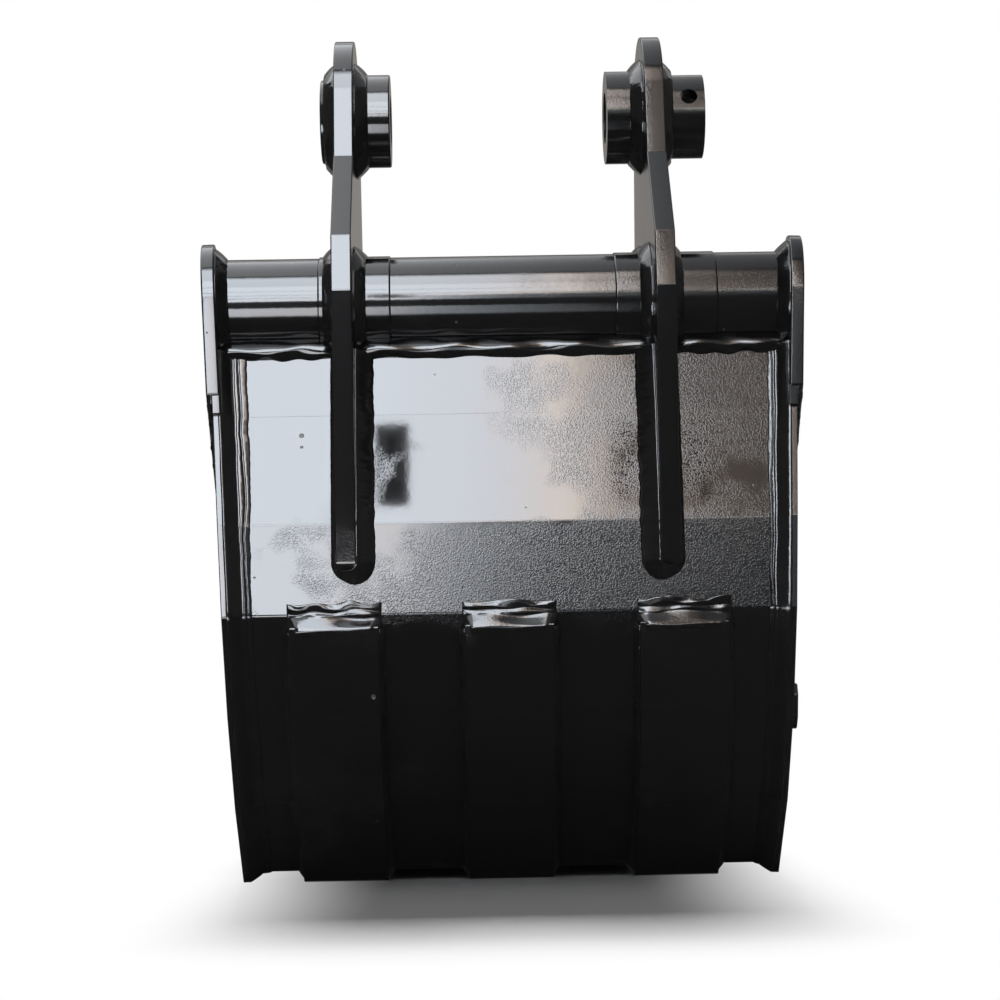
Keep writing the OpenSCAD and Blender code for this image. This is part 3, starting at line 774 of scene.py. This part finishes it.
# %% [markdown]
# ## Welds round the wear strips
#
# The strips' top ends get a heavy, untidy bead, laid in several short pulls, and their long
# edges a thin one that follows the folds down to the cutting edge.

# %% Strip welds
strip_top = down_to(strip_line[0, 1])
strip_knots = [(16, 0), (14.5, 1.1), (11.5, 1.5), (10, 0.9), (7.5, 2.4),
               (5.5, 2.3), (-0.5, 9.4), (-3, 9.9), (-6.5, 8.4)]
strip_sway = [(2.5, 0), (2.5, 0.4), (2, 0.6), (2, 0.6), (2, 1),
              (2, 1.2), (0.6, 0.5), (1.2, 0.6), (2.4, 0)]
strip_overhang = 1.5 * mm
for k, label in enumerate(("left", "middle", "right")):
    low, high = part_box(f"wear_strip_{label}")
    across = steps(high.x - low.x + 2 * strip_overhang)
    x = low.x - strip_overhang + across
    yz, tangent = follow(wrapper_line, np.full(len(x), strip_top))
    section = heavy(across, strip_knots, strip_sway, 101 + 30 * k, 34 * mm)
    sweep(f"strip_top_weld_{label}", across_x(yz, x), across_x(-tangent, 0.0),
          across_x(outward(tangent), 0.0), section)
    for edge_x, way, where in ((low.x, -1.0, "left"), (high.x, 1.0, "right")):
        along = strip_top + steps(wrapper_length - strip_top - 2 * mm)
        flat = np.column_stack([np.full(len(along), edge_x), along])
        name = f"strip_{label}_side_weld_{where}"
        on_wrapper(flat, (way, 0.0), name, (4.5 * mm, 5.5 * mm), 111 + k)
print("strips start", round(strip_top, 3), "down the wrapper")


# %% [markdown]
# ## Straight beads in corners
#
# The rest are mostly straight runs between flat plates, along the cutting edge and at its two
# ends. Two directions and two end points describe each of them. The beads round the adapters'
# straps and inside the bucket follow a path again.

# %% Straight beads
def straight(name, start, end, along_a, along_b, legs, seed, crown=0.5 * mm):
    """A bead from start to end whose legs lie along two fixed directions."""
    start, end = np.array(start, float), np.array(end, float)
    along_a, along_b = np.array(along_a, float), np.array(along_b, float)
    along = steps(np.linalg.norm(end - start))
    root = start + unit(end - start) * along[:, None]
    section = fillet(along, *legs, crown, seed)
    return sweep(name, root, unit(along_a), unit(along_b), section)


edge_low, edge_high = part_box("cutting_edge")
back_y, under_z = wrapper_line[-1]
floor_top = under_z + plate_t
half_w = edge_high.x - 8 * mm
straight("edge_weld_under", (-half_w, back_y, under_z), (half_w, back_y, under_z),
         (0, -1, 0), (0, 0, -1), (7 * mm, 6.5 * mm), 131)
straight("edge_weld_inside", (-half_w, edge_low.y, floor_top), (half_w, edge_low.y, floor_top),
         (0, -1, 0), (0, 0.4, 1), (7 * mm, 2.4 * mm), 132, crown=0.8 * mm)
for side, label in ((-1, "left"), (1, "right")):
    start, end = ((side * float(side_x([y, edge_high.z])), y, edge_high.z)
                  for y in (edge_low.y, edge_high.y - 34 * mm))
    straight(f"edge_side_weld_{label}", start, end, (-side, 0, 0), (0, 0, 1),
             (6 * mm, 6 * mm), 133 + side)

# %% Adapter straps
strap_front = edge_high.y - 27 * mm
for k in range(1, 5):
    low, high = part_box(f"tooth_adapter_{k}")
    strap = np.array([(low.x, strap_front), (low.x, low.y), (high.x, low.y), (high.x, strap_front)])
    flat, left = round_corners(strap, 3 * mm)
    root = np.column_stack([flat, np.full(len(flat), edge_high.z)])
    foot = np.column_stack([-left, np.zeros(len(flat))])
    section = fillet(lengths_of(flat), 6 * mm, 5 * mm, 0.5 * mm, 141 + k)
    sweep(f"adapter_weld_{k}", root, foot, (0, 0, 1), section)

# %% Inside corners
face_yz, face_tangent = follow(wrapper_line, steps(wrapper_length), 3 * mm)
inward_yz = -outward(face_tangent)
inner_yz = face_yz + inward_yz * plate_t
# Counted in bead steps, the bead starts below the tube and stops short of the front edge
keep = slice(14, -4)
inner_along = lengths_of(inner_yz)[keep]
for side, label in ((-1, "left"), (1, "right")):
    section = fillet(inner_along - inner_along[0], 6 * mm, 6 * mm, 0.4 * mm, 151 + side)
    sweep(f"inside_weld_{label}", across_x(inner_yz, side * side_x(inner_yz))[keep], (-side, 0, 0),
          across_x(inward_yz, 0.0)[keep], section)
names = [thing.name for thing in bpy.data.objects]
print("beads:", sum(any(word in name for word in ("_weld", "_ring", "_seam")) for name in names))

# %% [markdown]
# ## Light
#
# Black gloss paint shows the room rather than itself, so the light is built as things to be
# mirrored. A tall bright card stands behind the camera like a doorway. Its daylight fades into
# a warm, dim room on the right, and a dark flag hides its foot, so panels that face downwards
# stay black. Sky leans over it, a strip of bright yard lies before it for the tube's
# underside, and dark stands and rails before it put broken shapes and thin lines into the
# gloss. Dark cards on the floor and at the sides keep white walls out of the reflections. The
# cards are seen in mirrors alone: not by the camera, and no matt surface takes light from them.

# %% Cards
def card(name, points, material):
    """A flat card of the studio, given by its four corners, which only gloss reflects."""
    mesh = bpy.data.meshes.new(name)
    mesh.from_pydata(points, [], [(0, 1, 2, 3)])
    mesh.materials.append(material)
    thing = bpy.data.objects.new(name, mesh)
    bpy.context.scene.collection.objects.link(thing)
    thing.visible_camera = False
    thing.visible_shadow = False
    thing.visible_diffuse = False
    return thing


def level_card(name, x0, x1, y0, y1, z, material, far_z=None):
    """A card that lies at height z, or rises from z at y0 to far_z at y1."""
    far_z = z if far_z is None else far_z
    return card(name, [(x0, y0, z), (x1, y0, z), (x1, y1, far_z), (x0, y1, far_z)], material)


def upright(name, x0, x1, z0, z1, material, y):
    """A card that stands across the room at y, with its heights taken from the ground."""
    low, high = ground_z + z0, ground_z + z1
    return card(name, [(x0, y, low), (x1, y, low), (x1, y, high), (x0, y, high)], material)


def glow(name, colour, strength):
    """An even emission."""
    material = bpy.data.materials.new(name)
    material.use_nodes = True
    tree = material.node_tree
    tree.nodes.remove(tree.nodes["Principled BSDF"])
    light = new_node(tree, "ShaderNodeEmission")
    light.inputs["Color"].default_value = (*colour, 1)
    light.inputs["Strength"].default_value = strength
    tree.links.new(light.outputs[0], tree.nodes["Material Output"].inputs["Surface"])
    return material


# %% Daylight of the doorway
card_y = tube_y - 3.3
fade_from, fade_to = -0.6, 0.6
fade_colours = [(0.0, (0.84, 0.9, 0.98)), (0.22, (0.8, 0.82, 0.88)), (0.35, (0.86, 0.77, 0.71)),
                (0.43, (0.44, 0.38, 0.35)), (0.52, (0.2, 0.165, 0.14)), (0.6, (0.09, 0.072, 0.06)),
                (0.8, (0.045, 0.038, 0.033)), (1.0, (0.03, 0.027, 0.025))]
cool_tint = (0.66, 0.86, 1.08, 1)


def daylight(name, strength, near=None):
    """
    Emission that is blue-white on the left and fades through a warm grey to near black on
    the right. The fade lies at one x low down and further right higher up, and turns cooler
    low down on the right. near gives two values of Y, and between them the strength falls to
    nothing.
    """
    material = glow(name, (1, 1, 1), strength)
    tree = material.node_tree
    light = tree.nodes["Emission"]
    axes = axes_of(tree, object_place(tree))
    ramp = new_node(tree, "ShaderNodeValToRGB")
    while len(ramp.color_ramp.elements) < len(fade_colours):
        ramp.color_ramp.elements.new(0.5)
    for element, (at, colour) in zip(ramp.color_ramp.elements, fade_colours):
        element.position = at
        element.color = (*colour, 1)
    edge = rescale(tree, axes["Z"], ground_z + 0.85, ground_z + 1.5, 0.02, 0.38)
    shift = maths(tree, "SUBTRACT", axes["X"], edge)
    tree.links.new(rescale(tree, shift, fade_from, fade_to, curve="LINEAR"), ramp.inputs["Fac"])
    cool = new_node(tree, "ShaderNodeMix", data_type="RGBA", blend_type="MULTIPLY")
    low = rescale(tree, axes["Z"], ground_z + 1.3, ground_z + 0.9)
    low = maths(tree, "MULTIPLY", low, rescale(tree, axes["X"], -0.35, 0.05))
    tree.links.new(low, cool.inputs["Factor"])
    tree.links.new(ramp.outputs["Color"], cool.inputs["A"])
    cool.inputs["B"].default_value = cool_tint
    tree.links.new(cool.outputs["Result"], light.inputs["Color"])
    if near:
        fall = rescale(tree, axes["Y"], near[1], near[0], 0.0, strength)
        tree.links.new(fall, light.inputs["Strength"])
    return material


door_half, door_h = 1.0, 3.1
door_strength, sky_strength, yard_strength, window_strength = 18.5, 15, 13, 7
sky_y, yard_y = tube_y - 1.35, tube_y - 0.58
upright("doorway_card", -door_half, door_half, 0.0, door_h,
        daylight("doorway", door_strength), card_y)
level_card("sky_card", -1.1, 1.0, card_y, sky_y, ground_z + door_h,
           daylight("sky", sky_strength, (sky_y - 0.6, sky_y)), ground_z + 3.95)
level_card("yard_card", -1.2, 0.15, tube_y - 1.65, yard_y, ground_z + 3 * mm,
           daylight("yard", yard_strength, (yard_y - 0.14, yard_y)))
upright("window_card", 0.15, 0.75, 1.05, 1.3, glow("window", (1, 0.93, 0.85), window_strength),
        card_y + 0.1)

# %% Dark things that stand in the light
black_card = glow("black_card", (1, 0.95, 0.9), 0.02)
grey_card = glow("grey_card", (1, 0.95, 0.9), 0.3)
side_card = glow("side_card", (1, 0.97, 0.93), 0.12)
stand_y, rail_y, wing_y = card_y + 2.7, card_y + 0.1, card_y - 0.05
stands = [(-0.119, -0.086, 0.505, 0.593), (0.114, 0.141, 0.505, 0.593),
          (0.181, 0.214, 0.505, 0.593), (0.144, 0.174, 0.65, 1.15), (-0.32, -0.26, 0.512, 0.534)]
for k, (x0, x1, z0, z1) in enumerate(stands):
    upright(f"stand_{k + 1}", x0, x1, z0, z1, black_card, stand_y)
rail_heights, rail_width = (0.97, 1.36, 2.02), 0.035
for k, height in enumerate(rail_heights):
    upright(f"rail_{k + 1}", -door_half, 0.15, height, height + rail_width, black_card, rail_y)
upright("foot_flag", -4, 4, 0, 0.53, black_card, rail_y)

# %% Walls, floor cover and ceiling of the dark room
room_half, wall_x, wall_y, wall_top, back_top = 3, 2.6, 2.8, 2.4, 2.2
level_card("floor_flag", -room_half, room_half, card_y, wall_y, ground_z + 1 * mm, black_card)
for side, label in ((-1, "left"), (1, "right")):
    x = side * wall_x
    foot = [(x, card_y, ground_z), (x, wall_y, ground_z)]
    card(f"side_flag_{label}", foot + [(x, wall_y, wall_top), (x, card_y, wall_top)], side_card)
    upright(f"wing_flag_{label}", side * door_half, side * 2.8, 0, door_h, side_card, wing_y)
foot = [(-room_half, wall_y, ground_z), (room_half, wall_y, ground_z)]
card("back_flag", foot + [(room_half, wall_y, back_top), (-room_half, wall_y, back_top)], grey_card)

# The ceiling dims along X, from a bright left to a dull right
ceiling_left, ceiling_right = 3.0, 0.45
ceiling = glow("ceiling", (0.93, 0.96, 1), ceiling_left)
tree = ceiling.node_tree
ceiling_x = axes_of(tree, object_place(tree))["X"]
tree.links.new(rescale(tree, ceiling_x, -0.6, 0.8, ceiling_left, ceiling_right),
               tree.nodes["Emission"].inputs["Strength"])
level_card("ceiling_card", -4, 4, -3.5, 3, ground_z + 4.0, ceiling)


# %% [markdown]
# ## Lamp, floor and background
#
# One soft lamp above gives matt surfaces their light and the bucket its shadow. The floor
# takes that shadow near the bucket. Further out, rays from the camera or from a mirror see
# plain white instead, and so they do in the background.

# %% Lamp
lamp_side = 0.9
lamp_radiance = 40
middle = Vector((0, tube_y, tube_z - 0.15))
lamp_place = middle + Vector((0.0, 1.25, 2.4))
lamp_aim = middle + Vector((0, -0.3, -0.2))
lamp = bpy.data.lights.new("top_box", "AREA")
lamp.shape = "RECTANGLE"
lamp.size = lamp_side
lamp.size_y = lamp_side
lamp.energy = lamp_radiance * math.pi * lamp_side ** 2
top_box = bpy.data.objects.new("top_box", lamp)
top_box.location = lamp_place
top_box.rotation_euler = (lamp_aim - lamp_place).to_track_quat("-Z", "Y").to_euler()
top_box.visible_camera = False
top_box.visible_glossy = False
bpy.context.scene.collection.objects.link(top_box)
print("lamp:", round(lamp.energy, 1), "W")


# %% Rays that look straight on
def seen_directly(tree):
    """Mask that is 1 for rays from the camera, a mirror or clear glass, and 0 for lighting."""
    rays = new_node(tree, "ShaderNodeLightPath").outputs
    direct = maths(tree, "MAXIMUM", rays["Is Camera Ray"], rays["Is Glossy Ray"])
    return maths(tree, "MAXIMUM", direct, rays["Is Transmission Ray"])


# %% Floor
floor_mesh = bpy.data.meshes.new("floor")
half = 14.0
floor_corners = ((-half, -half), (half, -half), (half, half), (-half, half))
floor_mesh.from_pydata([(x, y, ground_z) for x, y in floor_corners], [], [(0, 1, 2, 3)])
floor = bpy.data.objects.new("floor", floor_mesh)
bpy.context.scene.collection.objects.link(floor)
floor_paint = bpy.data.materials.new("floor")
floor_paint.use_nodes = True
tree = floor_paint.node_tree
shader = tree.nodes["Principled BSDF"]
shader.inputs["Base Color"].default_value = (0.86, 0.86, 0.86, 1)
shader.inputs["Roughness"].default_value = 0.9
shader.inputs["Specular IOR Level"].default_value = 0.0
white = new_node(tree, "ShaderNodeEmission")

# Distance outside a rectangle on the floor under the bucket: the length of what |p - centre|
# exceeds the rectangle's half sides by
shade_centre, shade_half, shade_fade = (0, -0.02, ground_z), (0.09, 0.38, 0), 0.17
vector = object_place(tree)
for operation, operand in (("SUBTRACT", shade_centre), ("ABSOLUTE", None),
                           ("SUBTRACT", shade_half), ("MAXIMUM", (0, 0, 0))):
    step = new_node(tree, "ShaderNodeVectorMath", operation=operation)
    tree.links.new(vector, step.inputs[0])
    if operand:
        step.inputs[1].default_value = operand
    vector = step.outputs["Vector"]
distance = new_node(tree, "ShaderNodeVectorMath", operation="LENGTH")
tree.links.new(vector, distance.inputs[0])
far = rescale(tree, distance.outputs["Value"], 0.0, shade_fade)
blend = new_node(tree, "ShaderNodeMixShader")
tree.links.new(maths(tree, "MULTIPLY", far, seen_directly(tree)), blend.inputs["Fac"])
tree.links.new(shader.outputs[0], blend.inputs[1])
tree.links.new(white.outputs[0], blend.inputs[2])
tree.links.new(blend.outputs[0], tree.nodes["Material Output"].inputs["Surface"])
floor_mesh.materials.append(floor_paint)

# %% Background
room_light = 0.17
world = bpy.data.worlds.new("studio")
bpy.context.scene.world = world
world.use_nodes = True
tree = world.node_tree
background = tree.nodes["Background"]
background.inputs["Color"].default_value = (1, 1, 1, 1)
strength = rescale(tree, seen_directly(tree), 0.0, 1.0, room_light, 1.0, curve="LINEAR")
tree.links.new(strength, background.inputs["Strength"])
print("room light:", room_light)

# %% Update the scene
bpy.context.view_layer.update()
